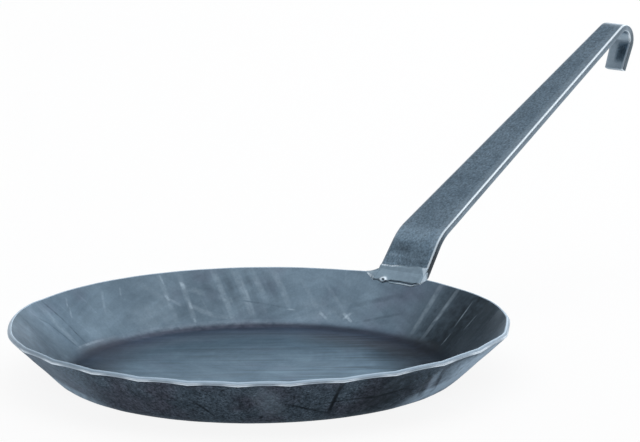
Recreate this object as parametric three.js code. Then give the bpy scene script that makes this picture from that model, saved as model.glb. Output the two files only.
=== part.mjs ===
// Wrought iron frying pan: a hammered dish, and a forged hook handle welded on edge to its rim.
// Millimetres, +Z up. The origin is the centre of the underside, and the handle runs towards +X.
import * as THREE from "three";

const { degToRad, lerp, smoothstep } = THREE.MathUtils;

// Dish
const RIM_DIAMETER = 280; // across the rim's outer edge
const BASE_DIAMETER = 219; // where the wall's outer face, carried on straight, meets the underside
const RIM_HEIGHT = 29.6; // the rim's outer edge above the underside
const IRON = 3; // thickness of floor and wall
const BASE_BEND = 18; // inner radius of the bend from floor to wall
const RIM_EDGE = 0.9; // rounding of the rim's two edges

// Hammering of the wall
const FLATS = 28; // hammered flats round the rim
const FIRST_CORNER = 7; // degrees from the handle to the first corner between flats
const FLAT_DEPTH = 1.05; // how far the middle of a flat is driven into the dish, at the rim
const FLAT_UNEVEN = 0.2; // how far a corner between flats strays, as a share of a flat's width
const STRAY_TURN = 0.6; // radians by which the stray of one corner differs from the next
const FLAT_LEAN = 5; // degrees round the pan that a corner runs back between the rim and the bend
const CALM_SIDE = 56; // degrees from the handle to the middle of the side that was struck lightly
const CALM_HALF = 80; // degrees from there to where the blows begin to get heavier
const CALM_BLEND = 25; // degrees over which they do
const CALM_SHARE = 0.2; // share of the flats' depth on that side
const CALM_SAG = 0.7; // how far the rim leans out there
const PLAIN_BLEND = 14; // length of rim over which the flats fade out beside the joint

// Handle, a flat bar
const BAR_THICKNESS = 4;
const ROOT_WIDTH = 33.6; // at the rim
const TIP_WIDTH = 13.5; // at the end of the hook
const BAR_EDGE = 1; // rounding of the bar's long edges
const RISER_SLOPE = 49.2; // degrees above level
const RISER_LENGTH = 20;
const KNEE_BEND = 30; // radius of the bend between riser and grip, at the middle of the bar
const GRIP_SLOPE = 23.9; // degrees above level
const GRIP_LENGTH = 216.4;
const HOOK_BEND = 8.6; // radius of the hook, at the middle of the bar
const HOOK_TURN = 141; // degrees, down and back under the grip
const HOOK_LEG = 15.6; // straight end of the hook

// Weld joint between rim and bar
const FIT = 0.25; // gap left between weld metal and the iron it holds
const ROOT_GAP = 2; // opening between the rim and the bar's end, on the inside
const CAP_BELOW = 6; // reach of the inside run down the wall
const CAP_ABOVE_LEFT = 3.3; // reach of the inside run up the bar, at its left edge seen from the dish
const CAP_ABOVE_RIGHT = 5.4;
const CAP_RISE = 0.9; // height of the inside run, dressed flat
const CAP_TOE = 0.4; // height of weld metal left at the edges of a run
const CAP_BEVEL = 0.8; // width of the bevel along the inside run
const CAP_CORNER = 5; // length of the inside run's lower edge that is cut off at the right
const CAP_CUT = 2.5; // height of that cut
const BACK_BELOW = 4.5; // reach of the outside run down the wall
const BACK_ABOVE = 4.5; // reach of the outside run up the bar
const BACK_CROWN = 2.4; // pull of the outside run's rounded back
const LEFT_REACH = 6; // fillet at the bar's left edge: its run out along the rim
const LEFT_HEIGHT = 3.4; // above the rim
const LEFT_BELOW = 5; // down the wall
const RIGHT_REACH = 2.4; // fillet at the bar's right edge
const RIGHT_HEIGHT = 2.2;
const RIGHT_BELOW = 3;
const WRAP_TIP = 0.25; // share of a fillet's height and depth that is left at its tip

// Steps along curves
const FLAT_STEPS = 4;
const BEND_STEPS = 5;
const WALL_STEPS = 3;
const RIM_STEPS = 2;
const EDGE_STEPS = 3;
const KNEE_STEPS = 7;
const HOOK_STEPS = 16;
const GRIP_STEPS = 4;
const CROWN_STEPS = 6;
const RUN_STEPS = 8;
const WRAP_STEPS = 4;

// Finishes
const FORGED_IRON = 0x4f5c68;
const BAR_IRON = 0x5a6874;
const WELD_METAL = 0x94a1ae;
const METALNESS = 0.9;

// Directions and corners in the upright plane through the dish's axis: x is the radius, y is the height
const wallSlope = Math.atan2(RIM_HEIGHT, (RIM_DIAMETER - BASE_DIAMETER) / 2);
const upWall = new THREE.Vector2(Math.cos(wallSlope), Math.sin(wallSlope));
const intoDish = new THREE.Vector2(-upWall.y, upWall.x);
const rimOuter = new THREE.Vector2(RIM_DIAMETER / 2, RIM_HEIGHT);
const rimInner = rimOuter.clone().addScaledVector(intoDish, IRON);
const bendHeight = BASE_BEND + IRON;
const floorRadius = BASE_DIAMETER / 2 - bendHeight * Math.tan(wallSlope / 2);

const riserAngle = degToRad(RISER_SLOPE);
const upBar = new THREE.Vector2(Math.cos(riserAngle), Math.sin(riserAngle));
const offBar = new THREE.Vector2(-upBar.y, upBar.x);
const barFront = rimInner.clone().addScaledVector(upWall, ROOT_GAP);
const barBack = barFront.clone().addScaledVector(offBar, -BAR_THICKNESS);

// Length of rim on each side of the handle that is left round for the joint
const plainRim = ROOT_WIDTH / 2 + Math.max(LEFT_REACH, RIGHT_REACH);

// Values at even steps, both ends included
function steps(from, to, count) {
  return Array.from({ length: count + 1 }, (_, i) => lerp(from, to, i / count));
}

// A closed body over rings of points that all run the same way round, with flat ends cut as capFaces says
function loft(rings, capFaces) {
  const count = rings[0].length;
  const index = [];
  for (let ring = 0; ring + 1 < rings.length; ring++) {
    for (let i = 0; i < count; i++) {
      const a = ring * count + i;
      const b = ring * count + ((i + 1) % count);
      index.push(a, b, b + count, a, b + count, a + count);
    }
  }
  const last = (rings.length - 1) * count;
  for (const [a, b, c] of capFaces) {
    index.push(a, c, b, last + a, last + b, last + c);
  }
  const geometry = new THREE.BufferGeometry().setFromPoints(rings.flat());
  geometry.setIndex(index);
  geometry.computeVertexNormals();
  return geometry;
}

function capOf(outline) {
  return THREE.ShapeUtils.triangulateShape(outline, []);
}

function piece(name, geometry, color, roughness) {
  const material = new THREE.MeshStandardMaterial({ color, roughness, metalness: METALNESS });
  const mesh = new THREE.Mesh(geometry, material);
  mesh.name = name;
  return mesh;
}

// Dish

// Angle of the corner that starts a flat: the corners stray a little, as hand blows do
function cornerAngle(flat) {
  const stray = FLAT_UNEVEN * Math.sin(STRAY_TURN * flat);
  return degToRad(FIRST_CORNER) + ((flat + stray) * 2 * Math.PI) / FLATS;
}

// Angle between two directions, the shorter way round
function turnBetween(a, b) {
  return Math.abs(Math.atan2(Math.sin(a - b), Math.cos(a - b)));
}

// Columns of points round the dish: each has its angle at the rim and its share of the flat's depth there
function dishColumns() {
  const columns = [];
  for (let flat = 0; flat < FLATS; flat++) {
    const start = cornerAngle(flat);
    const end = flat + 1 < FLATS ? cornerAngle(flat + 1) : cornerAngle(0) + 2 * Math.PI;
    const half = (end - start) / 2;
    for (let step = 0; step < FLAT_STEPS; step++) {
      const offset = (2 * step) / FLAT_STEPS - 1;
      columns.push({ angle: start + half * (1 + offset), dip: 1 - offset ** 2 });
    }
  }
  return columns;
}

// Rows of the profile, from the underside's edge up the outside, over the rim and down to the floor's edge.
// blow is the share of the hammering that reaches a row: none at the bend, all of it at the rim.
function dishRows() {
  const face = (side, radius, rim) => {
    const out = intoDish.clone().multiplyScalar(side);
    const edgeCentre = rim.clone().addScaledVector(upWall, -RIM_EDGE).addScaledVector(out, -RIM_EDGE);
    const bend = steps(0, wallSlope, BEND_STEPS).map((turn) => {
      const outwards = floorRadius + radius * Math.sin(turn);
      return new THREE.Vector2(outwards, bendHeight - radius * Math.cos(turn));
    });
    const edge = steps(0, Math.PI / 2, RIM_STEPS).map((turn) =>
      edgeCentre
        .clone()
        .addScaledVector(out, RIM_EDGE * Math.cos(turn))
        .addScaledVector(upWall, RIM_EDGE * Math.sin(turn)),
    );
    const bendTop = bend[BEND_STEPS];
    const shares = steps(0, 1, WALL_STEPS);
    return [
      ...bend.map((point) => ({ point, blow: 0 })),
      ...shares.slice(1, -1).map((blow) => ({ point: bendTop.clone().lerp(edge[0], blow), blow })),
      ...edge.map((point) => ({ point, blow: 1 })),
    ];
  };
  return [...face(-1, bendHeight, rimOuter), ...face(1, BASE_BEND, rimInner).reverse()];
}

// How far a place on the wall is driven into the dish: dip is its share of a flat's depth
function hammered(around, radius, dip) {
  const clear = smoothstep(turnBetween(around, 0) * radius, plainRim, plainRim + PLAIN_BLEND);
  const fromCalm = turnBetween(around, degToRad(CALM_SIDE));
  const heavy = smoothstep(fromCalm, degToRad(CALM_HALF), degToRad(CALM_HALF + CALM_BLEND));
  return clear * (FLAT_DEPTH * dip * lerp(CALM_SHARE, 1, heavy) - CALM_SAG * (1 - heavy));
}

function panBody() {
  const columns = dishColumns();
  const lean = degToRad(FLAT_LEAN);
  const ring = ({ point, blow }) =>
    columns.map(({ angle, dip }) => {
      const around = angle - lean * (1 - blow);
      const { x, y } = point.clone().addScaledVector(intoDish, blow * hammered(around, point.x, dip));
      return new THREE.Vector3(x * Math.cos(around), x * Math.sin(around), y);
    });
  const rings = dishRows().map(ring);
  return loft(rings, capOf(rings[0].map((p) => new THREE.Vector2(p.x, p.y))));
}

// Handle

// Stations along the middle of the bar, each with its heading above level
function barStations() {
  const at = barFront.clone().addScaledVector(offBar, -BAR_THICKNESS / 2);
  let heading = riserAngle;
  let travelled = 0;
  const stations = [{ at: at.clone(), heading, travelled }];
  const straight = (length, steps) => {
    for (let step = 0; step < steps; step++) {
      at.x += (length / steps) * Math.cos(heading);
      at.y += (length / steps) * Math.sin(heading);
      travelled += length / steps;
      stations.push({ at: at.clone(), heading, travelled });
    }
  };
  const bendDown = (radius, turn, steps) => {
    const centre = new THREE.Vector2(at.x + radius * Math.sin(heading), at.y - radius * Math.cos(heading));
    for (let step = 0; step < steps; step++) {
      heading -= turn / steps;
      at.set(centre.x - radius * Math.sin(heading), centre.y + radius * Math.cos(heading));
      travelled += (radius * turn) / steps;
      stations.push({ at: at.clone(), heading, travelled });
    }
  };
  straight(RISER_LENGTH, 1);
  bendDown(KNEE_BEND, degToRad(RISER_SLOPE - GRIP_SLOPE), KNEE_STEPS);
  straight(GRIP_LENGTH, GRIP_STEPS);
  bendDown(HOOK_BEND, degToRad(HOOK_TURN), HOOK_STEPS);
  straight(HOOK_LEG, 1);
  return stations;
}

// The bar's section with its four edges rounded: x is across the bar, y is through it
function barSection(width) {
  const across = width / 2 - BAR_EDGE;
  const through = BAR_THICKNESS / 2 - BAR_EDGE;
  const corners = [
    [across, through],
    [-across, through],
    [-across, -through],
    [across, -through],
  ];
  const quarter = Math.PI / 2;
  return corners.flatMap(([x, y], corner) => {
    const edge = new THREE.EllipseCurve(x, y, BAR_EDGE, BAR_EDGE, corner * quarter, (corner + 1) * quarter);
    return edge.getPoints(EDGE_STEPS);
  });
}

function hookHandle() {
  const stations = barStations();
  const length = stations[stations.length - 1].travelled;
  const rings = stations.map(({ at, heading, travelled }) =>
    barSection(lerp(ROOT_WIDTH, TIP_WIDTH, travelled / length)).map(
      ({ x, y }) => new THREE.Vector3(at.x - y * Math.sin(heading), x, at.y + y * Math.cos(heading)),
    ),
  );
  return loft(rings, capOf(barSection(ROOT_WIDTH)));
}

// Weld joint: every run is lofted across the bar, through slices at steps of y

// In the slice at y: a point up the wall from the rim's edge, and out of the wall on the dish's side
function onWall(edge, y, along, out) {
  const p = edge.clone().addScaledVector(upWall, along).addScaledVector(intoDish, out);
  return new THREE.Vector2(Math.sqrt(p.x ** 2 - y ** 2), p.y);
}

// A point up the bar from its end, and out of the bar on the dish's side
function onBar(face, along, out) {
  return face.clone().addScaledVector(upBar, along).addScaledVector(offBar, out);
}

function loftAcross(ys, outlineAt) {
  const outlines = ys.map((y) => {
    const outline = outlineAt(y);
    return THREE.ShapeUtils.isClockWise(outline) ? outline : outline.reverse();
  });
  const rings = outlines.map((outline, i) => outline.map((p) => new THREE.Vector3(p.x, ys[i], p.y)));
  return loft(rings, capOf(outlines[0].map((p) => new THREE.Vector2(p.y, p.x))));
}

const runHalf = ROOT_WIDTH / 2 - BAR_EDGE;

// Fills the opening between the rim's cut edge and the bar's cut end
function weldRootRun() {
  return loftAcross(steps(-runHalf, runHalf, RUN_STEPS), (y) => {
    const side = (rim, bar) => {
      const from = onWall(rim, y, 0, 0);
      const span = bar.clone().sub(from);
      const gap = FIT / span.length();
      return [from.clone().addScaledVector(span, gap), from.clone().addScaledVector(span, 1 - gap)];
    };
    return [...side(rimInner, barFront), ...side(rimOuter, barBack).reverse()];
  });
}

// Dressed band over the seam on the dish's side
function weldInsideCap() {
  const cornerStart = CAP_CORNER - runHalf;
  const ys = [-runHalf, ...steps(cornerStart, runHalf, RUN_STEPS)];
  return loftAcross(ys, (y) => {
    const below = CAP_BELOW - (CAP_CUT * Math.max(0, cornerStart - y)) / CAP_CORNER;
    const above = lerp(CAP_ABOVE_RIGHT, CAP_ABOVE_LEFT, (y + runHalf) / (2 * runHalf));
    return [
      onWall(rimInner, y, -below, FIT),
      onWall(rimInner, y, 0, FIT),
      onBar(barFront, 0, FIT),
      onBar(barFront, above, FIT),
      onBar(barFront, above, FIT + CAP_TOE),
      onBar(barFront, above - CAP_BEVEL, FIT + CAP_RISE),
      onWall(rimInner, y, CAP_BEVEL - below, FIT + CAP_RISE),
      onWall(rimInner, y, -below, FIT + CAP_TOE),
    ];
  });
}

// Rounded bead over the seam on the outside
function weldOutsideCap() {
  return loftAcross(steps(-runHalf, runHalf, RUN_STEPS), (y) => {
    const lowToe = onWall(rimOuter, y, -BACK_BELOW, -FIT - CAP_TOE);
    const highToe = onBar(barBack, BACK_ABOVE, -FIT - CAP_TOE);
    const pull = lowToe.clone().lerp(highToe, 0.5).addScaledVector(offBar, -BACK_CROWN);
    return [
      onWall(rimOuter, y, -BACK_BELOW, -FIT),
      onWall(rimOuter, y, 0, -FIT),
      onBar(barBack, 0, -FIT),
      onBar(barBack, BACK_ABOVE, -FIT),
      ...new THREE.QuadraticBezierCurve(highToe, pull, lowToe).getPoints(CROWN_STEPS),
    ];
  });
}

// Fillet in the corner between the bar's side and the rim, tapering off along the rim.
// side is 1 at the bar's left edge and -1 at its right.
function weldWrap(side, reach, height, below) {
  const start = ROOT_WIDTH / 2 + FIT;
  const ends = [side * start, side * (start + reach)].sort((a, b) => a - b);
  const ys = steps(ends[0], ends[1], WRAP_STEPS);
  return loftAcross(ys, (y) => {
    const share = lerp(1, WRAP_TIP, (Math.abs(y) - start) / reach);
    return [
      onWall(rimInner, y, -below * share, FIT),
      onWall(rimInner, y, FIT, FIT),
      onWall(rimOuter, y, FIT, 0),
      onWall(rimOuter, y, height * share, 0),
      onWall(rimInner, y, height * share, 0),
      onWall(rimInner, y, 0, FIT + CAP_RISE),
      onWall(rimInner, y, -below * share, FIT + CAP_TOE),
    ];
  });
}

const pan = new THREE.Group();
pan.name = "wrought_iron_frying_pan";
pan.add(piece("pan_body", panBody(), FORGED_IRON, 0.45));
pan.add(piece("hook_handle", hookHandle(), BAR_IRON, 0.5));
const weld = new THREE.Group();
weld.name = "weld_joint";
weld.add(piece("weld_root_run", weldRootRun(), WELD_METAL, 0.5));
weld.add(piece("weld_inside_cap", weldInsideCap(), WELD_METAL, 0.35));
weld.add(piece("weld_outside_cap", weldOutsideCap(), WELD_METAL, 0.55));
weld.add(piece("weld_left_wrap", weldWrap(1, LEFT_REACH, LEFT_HEIGHT, LEFT_BELOW), WELD_METAL, 0.55));
weld.add(piece("weld_right_wrap", weldWrap(-1, RIGHT_REACH, RIGHT_HEIGHT, RIGHT_BELOW), WELD_METAL, 0.55));
pan.add(weld);

export default pan;
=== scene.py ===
# Wrought iron frying pan: a hammered dish, a forged hook handle and the weld that joins them.
# Metres, +Z up. The origin is the centre of the underside, and the handle runs towards +X.
import math
from functools import partial

import bmesh
import bpy
import numpy as np
from mathutils import Matrix, Vector


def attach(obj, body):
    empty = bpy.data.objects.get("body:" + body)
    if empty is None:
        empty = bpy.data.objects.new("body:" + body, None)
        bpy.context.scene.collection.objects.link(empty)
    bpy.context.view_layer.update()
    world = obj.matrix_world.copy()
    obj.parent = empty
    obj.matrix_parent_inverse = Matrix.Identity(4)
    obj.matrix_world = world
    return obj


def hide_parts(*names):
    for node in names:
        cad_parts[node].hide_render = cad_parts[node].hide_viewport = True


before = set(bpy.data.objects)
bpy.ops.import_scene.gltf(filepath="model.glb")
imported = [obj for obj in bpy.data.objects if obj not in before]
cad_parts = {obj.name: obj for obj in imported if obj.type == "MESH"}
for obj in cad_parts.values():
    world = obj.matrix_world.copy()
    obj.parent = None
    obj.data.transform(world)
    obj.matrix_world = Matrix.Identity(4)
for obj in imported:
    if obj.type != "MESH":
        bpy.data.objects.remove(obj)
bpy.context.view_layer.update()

MM = 0.001

# Dish
RIM_RADIUS = 139.75 * MM  # a hair less than the solid's, so that fine strokes stay within it
BASE_RADIUS = 109.5 * MM  # where the wall's outer face, carried on straight, meets the underside
RIM_HEIGHT = 29.6 * MM
IRON = 3 * MM
BASE_BEND = 18 * MM
RIM_EDGE = 0.7 * MM
FLATS = 28
FIRST_CORNER = math.radians(7)
FLAT_DEPTH = 0.89 * MM
FLAT_THROUGH = 0.7  # share of a flat's depth that shows on the inside
FLAT_UNEVEN = 0.2
CORNER_ROUND = 0.2  # 0 leaves the corners between the flats sharp, 1 rounds them off
STRAY_TURN = 0.6
STRAYED_CORNERS = {22: math.radians(3.6), 23: math.radians(4.4)}  # two corners that lie further off
FLAT_LEAN = math.radians(5)
CALM_SIDE = math.radians(56)  # middle of the side that was struck lightly
CALM_HALF = math.radians(80)
CALM_BLEND = math.radians(25)
CALM_SHARE = 0.2
CALM_SAG = 0.7 * MM
# Places where the rim is out of true: degrees from the handle where that begins, is full, begins to end
# and ends, then how far the rim is bent out there and how far it stands up, in mm
RIM_STRAYS = (
    (-82, -65, -50, -26, 1.5, 0),
    (-60, -48, -40, -18, 0, 0.65),
    (98, 106, 112, 128, 0, 0.7),
)
PLAIN_RIM = 22.8 * MM  # rim on each side of the handle that is left round for the joint
PLAIN_BLEND = 14 * MM
MID_RADIUS = 127 * MM  # of the wall half way up, for lengths measured round it
LAST_ANGLE = math.radians(306)  # where those lengths end, and start again at 54 degrees before the handle
SEAM_CALM = math.radians(14)  # strokes die out this near to it, so that they need not meet there

# Hammer strokes on the wall: narrow strips up the wall, crossed by long slanting ones
STROKE_SPACING = 27 * MM
STROKE_HALF = 5 * MM  # half the hammer's face
STROKE_EDGE = 1.6 * MM
STROKE_DEPTH = 0.12 * MM
STROKE_LEAN = math.radians(14)
CROSS_WIDTH = 15 * MM
CROSS_LENGTH = 52 * MM
CROSS_DEPTH = 0.12 * MM
CROSS_HOLLOW = 3.0  # how steeply the long strokes are hollowed
CROSS_LEAN = math.radians(-68)
CROSS_TURN = math.radians(20)  # place on the wall to both sides of which the long strokes lean away
STROKE_SEED = 7.3
STROKE_FADE = 9 * MM  # below the rim, where the strokes die out
MARK_RELIEF = 0.2 * MM  # height of a full ridge, depth of a full groove
FLOOR_WAVE = 0.08 * MM
FLOOR_WAVE_SIZE = 34 * MM

# Handle
BAR_THICKNESS = 4 * MM
ROOT_WIDTH = 33.6 * MM
TIP_WIDTH = 13.5 * MM
BAR_EDGE = 1 * MM
ROOT_GAP = 2 * MM
RISER_SLOPE = math.radians(49.2)
RISER_LENGTH = 20 * MM
KNEE_BEND = 30 * MM
GRIP_SLOPE = math.radians(23.9)
GRIP_LENGTH = 216.4 * MM
HOOK_BEND = 8.6 * MM
HOOK_TURN = math.radians(141)
HOOK_LEG = 15.6 * MM
BAR_WAVE = 0.1 * MM
BAR_WAVE_SIZE = 16 * MM
END_EASE = 0.35 * MM

# Weld
CAP_BELOW = 6.7 * MM
CAP_ABOVE_LEFT = 3.3 * MM
CAP_ABOVE_RIGHT = 5.4 * MM
CAP_RISE = 0.55 * MM
CAP_CORNER = 5 * MM
CAP_CUT = 2.5 * MM
BACK_BELOW = 4.5 * MM
BACK_ABOVE = 4.5 * MM
BACK_RISE = 1.5 * MM
WELD_SUNK = 0.6 * MM  # how deep the back of a run is fused into the iron

# Camera of the photograph
VIEW_TURN = math.radians(53.8)  # from the handle's direction to the picture's right-hand side
VIEW_TILT = math.radians(12.4)
VIEW_ROLL = math.radians(0.55)
VIEW_DISTANCE = 2795 * MM
VIEW_ASIDE = 34.85 * MM
VIEW_ABOVE = 86.5 * MM
VIEW_LENS = 281.25

wall_slope = math.atan2(RIM_HEIGHT, RIM_RADIUS - BASE_RADIUS)
up_wall = np.array([math.cos(wall_slope), math.sin(wall_slope)])
into_dish = np.array([-up_wall[1], up_wall[0]])
rim_outer = np.array([RIM_RADIUS, RIM_HEIGHT])
rim_inner = rim_outer + IRON * into_dish
bend_height = BASE_BEND + IRON
floor_radius = BASE_RADIUS - bend_height * math.tan(wall_slope / 2)
bend_length = wall_slope * (BASE_BEND + IRON / 2)
rim_slant = (rim_outer - np.array([floor_radius, bend_height]) + bend_height * into_dish) @ up_wall

up_bar = np.array([math.cos(RISER_SLOPE), math.sin(RISER_SLOPE)])
off_bar = np.array([-up_bar[1], up_bar[0]])
bar_front = rim_inner + ROOT_GAP * up_wall
bar_back = bar_front - BAR_THICKNESS * off_bar

right = Vector((math.cos(VIEW_TURN), -math.sin(VIEW_TURN), 0))
away = Vector((math.sin(VIEW_TURN), math.cos(VIEW_TURN), 0))
up = Vector((0, 0, 1))


def linear(hex_colour):
    parts = [int(hex_colour[i : i + 2], 16) / 255 for i in (1, 3, 5)]
    return (*[p / 12.92 if p <= 0.04045 else ((p + 0.055) / 1.055) ** 2.4 for p in parts], 1.0)


def smoothstep(values, start, end):
    share = np.clip((values - start) / (end - start), 0, 1)
    return share * share * (3 - 2 * share)


def wire(tree, node, inputs):
    """Sets inputs, each to a value, a hex colour, a socket, or a node, whose first output is meant."""
    for key, value in inputs.items():
        if isinstance(value, bpy.types.Node):
            value = next(s for s in value.outputs if s.enabled)
        if isinstance(value, bpy.types.NodeSocket):
            tree.links.new(value, node.inputs[key])
        elif isinstance(value, str) and value.startswith("#"):
            node.inputs[key].default_value = linear(value)
        else:
            node.inputs[key].default_value = value


def add(tree, kind, inputs=None, **settings):
    """Adds a node; most kinds begin with ShaderNode, which is left out where they are named."""
    made = tree.nodes.new(kind if "Node" in kind else "ShaderNode" + kind)
    for name, value in settings.items():
        setattr(made, name, value)
    wire(tree, made, inputs or {})
    return made


TIMES = {"operation": "MULTIPLY"}
TIMES_PLUS = {"operation": "MULTIPLY_ADD"}
MINUS = {"operation": "SUBTRACT"}
OVER = {"operation": "DIVIDE"}
STEPPED = {"interpolation_type": "SMOOTHSTEP"}
BLEND = {"data_type": "RGBA", "clamp_factor": True}
TINT = {"data_type": "RGBA", "blend_type": "MULTIPLY"}


def placed(name, data):
    """An object of this data, put in the scene."""
    made = bpy.data.objects.new(name, data)
    bpy.context.scene.collection.objects.link(made)
    return made


def new_piece(name, points, faces):
    mesh = bpy.data.meshes.new(name)
    mesh.from_pydata([tuple(p) for p in points], [], [tuple(int(i) for i in f) for f in faces])
    mesh.update()
    return placed(name, mesh)


def store(mesh, name, values, domain="POINT"):
    values = np.asarray(values, np.float32)
    kind, slot = ("FLOAT", "value") if values.ndim == 1 else ("FLOAT_VECTOR", "vector")
    mesh.attributes.new(name, kind, domain).data.foreach_set(slot, values.ravel())


def new_shape_tree(name, values):
    """A Geometry Nodes tree with an input for each value; gives the tree and what its inputs bring."""
    tree = bpy.data.node_groups.new(name, "GeometryNodeTree")
    tree.interface.new_socket("Geometry", in_out="INPUT", socket_type="NodeSocketGeometry")
    for label, value in values.items():
        kind = "Float" if isinstance(value, float) else value.bl_rna.identifier
        tree.interface.new_socket(label, in_out="INPUT", socket_type="NodeSocket" + kind)
    tree.interface.new_socket("Geometry", in_out="OUTPUT", socket_type="NodeSocketGeometry")
    return tree, tree.nodes.new("NodeGroupInput").outputs


def modified_mesh(source, name):
    """The mesh that an object's modifiers make of it."""
    evaluated = source.evaluated_get(bpy.context.evaluated_depsgraph_get())
    mesh = bpy.data.meshes.new_from_object(evaluated)
    mesh.name = name
    return mesh


def shape_with(source, shape_tree, name, values):
    """Runs the tree for these values on an object and keeps the result as a plain mesh piece."""
    modifier = source.modifiers.new("shape", "NODES")
    modifier.node_group = shape_tree(values)
    for item in modifier.node_group.interface.items_tree:
        if item.in_out == "INPUT" and item.name in values:
            modifier[item.identifier] = values[item.name]
    mesh = modified_mesh(source, name)
    bpy.data.objects.remove(source)
    return placed(name, mesh)


def stroke_aside(tree, arc, slant, spacing, lean):
    """How far a place on the wall lies from the middle of the nearest hammered strip, in metres."""
    node = partial(add, tree)
    slope = node("Math", {0: lean}, operation="TANGENT")
    shift = node("Math", {0: slant, 1: slope}, **TIMES)
    across = node("Math", {0: arc, 1: shift}, **MINUS)
    spot = node("Math", {0: across, 1: spacing}, **OVER)
    strip = node("TexVoronoi", {"W": spot, "Scale": 1.0, "Randomness": 0.75}, voronoi_dimensions="1D")
    return node("Math", {0: strip, 1: spacing}, **TIMES)


def marks_at(tree, spot, marks, to_metres):
    """How strongly long marks show at a spot: above 0 raised or rubbed, below 0 struck in or dark."""
    node = partial(add, tree)
    total = 0.0
    for middle, height, length, width, lean, strength in marks:
        centre = (middle * to_metres, height * MM, 0.0)
        half = (width / 2 * MM, length / 2 * MM, 1.0)
        turned = node(
            "VectorRotate",
            {"Vector": spot, "Center": centre, "Angle": math.radians(lean)},
            rotation_type="Z_AXIS",
        )
        apart = node("VectorMath", {0: turned, 1: centre}, **MINUS)
        sized = node("VectorMath", {0: apart, 1: half}, **OVER)
        square = node("VectorMath", {0: sized, 1: sized}, **TIMES)
        fade = node("TexGradient", {0: square}, gradient_type="SPHERICAL")
        total = node("Math", {0: fade.outputs[1], 1: strength, 2: total}, **TIMES_PLUS)
    return total


# Materials

GRAZING = "#e2edf7"  # tint of the thin oxide on the iron, seen at a flat angle

# Marks on the wall. Each row: degrees from the handle and height up the wall of its middle, length and
# width in mm, degrees it leans, and how strongly it shows: above 0 raised or rubbed light, below 0 struck
# in or dark.
AROUND = math.radians(1) * MID_RADIUS
# Ridges and grooves in the iron; the finish also paints the ridges lighter as painted highlight and the
# grooves darker as painted shade
WALL_RIDGES = (
    (61.8, 14, 46, 4, 1, 0.1),
    (56.4, 14, 46, 4.4, 2, 0.12),
    (46.2, 14, 48, 4.6, 13, 0.15),
    (41, 17, 44, 5, 16, 0.13),
    (36.6, 20, 30, 4.6, 22, 0.12),
    (30.7, 18.6, 32, 4.6, 24, 0.11),
    (23.1, 15.3, 28, 3.4, 32, 0.06),
    (15.9, 14.4, 32, 2.4, 42, 0.07),
    (50, 20, 30, 8, 12, -0.16),
    (44, 18, 38, 4.4, 15, -0.2),
    (38.9, 21, 30, 3, 18, -0.16),
    (33.5, 20, 30, 4, 23, -0.14),
    (99.9, 24.4, 18, 1.8, 16, -0.5),
    (98.6, 8.8, 24, 1.8, 7, -0.45),
    (107.4, 21.8, 14, 1.8, 42, -0.4),
    (104.5, 8.2, 27, 1.8, 18, -0.45),
    (115.8, 24.8, 19, 2, -11, -0.35),
    (-14, 15.7, 44, 4.6, 4.6, 0.24),
    (-17, 16, 40, 6, 3, -0.35),
    (-19.9, 15.7, 46, 4, 2.5, 0.26),
    (3, 14.7, 40, 4.4, -69, -0.25),
    (-0.3, 3.5, 38, 2.2, -70, -0.28),
)
# Nicks, scratches, and rubbed or browned places, too shallow to feel, and one painted highlight along the
# bend at the foot of the wall
WALL_RUBS = (
    (61.9, 15.3, 6, 2.4, 6, 0.22),
    (61.6, 28.8, 8, 1.6, 3, 0.2),
    (60.4, 12.6, 11, 2.4, 50, 0.2),
    (56.6, 23.2, 6, 2.8, 7, 0.3),
    (56.2, 9.3, 7, 2.4, 2, 0.22),
    (56.1, -1.7, 4, 2.4, 7, 0.28),
    (54, 19.1, 16, 5, 65, 0.09),
    (48.8, 14.3, 19, 5, 70, 0.09),
    (42.5, 10, 20, 5, 77, 0.08),
    (54.8, 6.9, 11, 4, 54, 0.11),
    (51.7, 2.8, 13, 4.4, 65, 0.1),
    (47.6, -0.3, 14, 4, 76, 0.08),
    (64.7, 20, 26, 5, 40, 0.06),
    (39.9, 15, 40, 2.4, 15.5, 0.1),
    (38.3, 8.9, 22, 1.5, 79.6, -0.2),
    (31.7, 6.1, 17, 1.5, 78.6, -0.16),
    (27.5, 3.9, 6, 1.4, 86, 0.2),
    (10, 0.6, 11, 2.4, 54, 0.34),
    (10.4, 1.7, 7.5, 2.2, -41, 0.28),
    (10.2, 1.2, 3.6, 3.6, 0, 0.22),
    (17.6, 0.4, 9, 2.2, 51, 0.22),
    (-29, 19.5, 21, 1.4, 11, 0.4),
    (-35, 17, 13, 1.3, 2, 0.35),
    (-31, 1.5, 11, 1.3, 7, 0.35),
    (92.6, 26.2, 8, 1.6, -37, 0.22),
    (94.1, 19.2, 11, 1.6, -37, 0.16),
    (80.9, 20.3, 19, 2, -25, 0.11),
    (74.2, 24.9, 7, 1.6, -21, 0.15),
    (102.8, 14, 40, 7, 2, 0.16),
    (97, -3.2, 38, 2.6, 88, 0.25),
    # Painted highlight along the bend at the foot of the wall
    (60, -4.5, 190, 3, 90, 0.1),
    (56, -9.5, 170, 10, 90, 0.34),
    (17, 3, 24, 46, 0, 0.1),
    (69, 3, 24, 40, 0, 0.08),
)
# Browned by heat round the edge of the floor
FLOOR_BROWNED = (
    (2, -30, 46, 100, 0, -0.4),
    (-22, -20, 36, 70, 0, -0.3),
    (95, -14, 26, 60, 0, -0.4),
)
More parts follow.
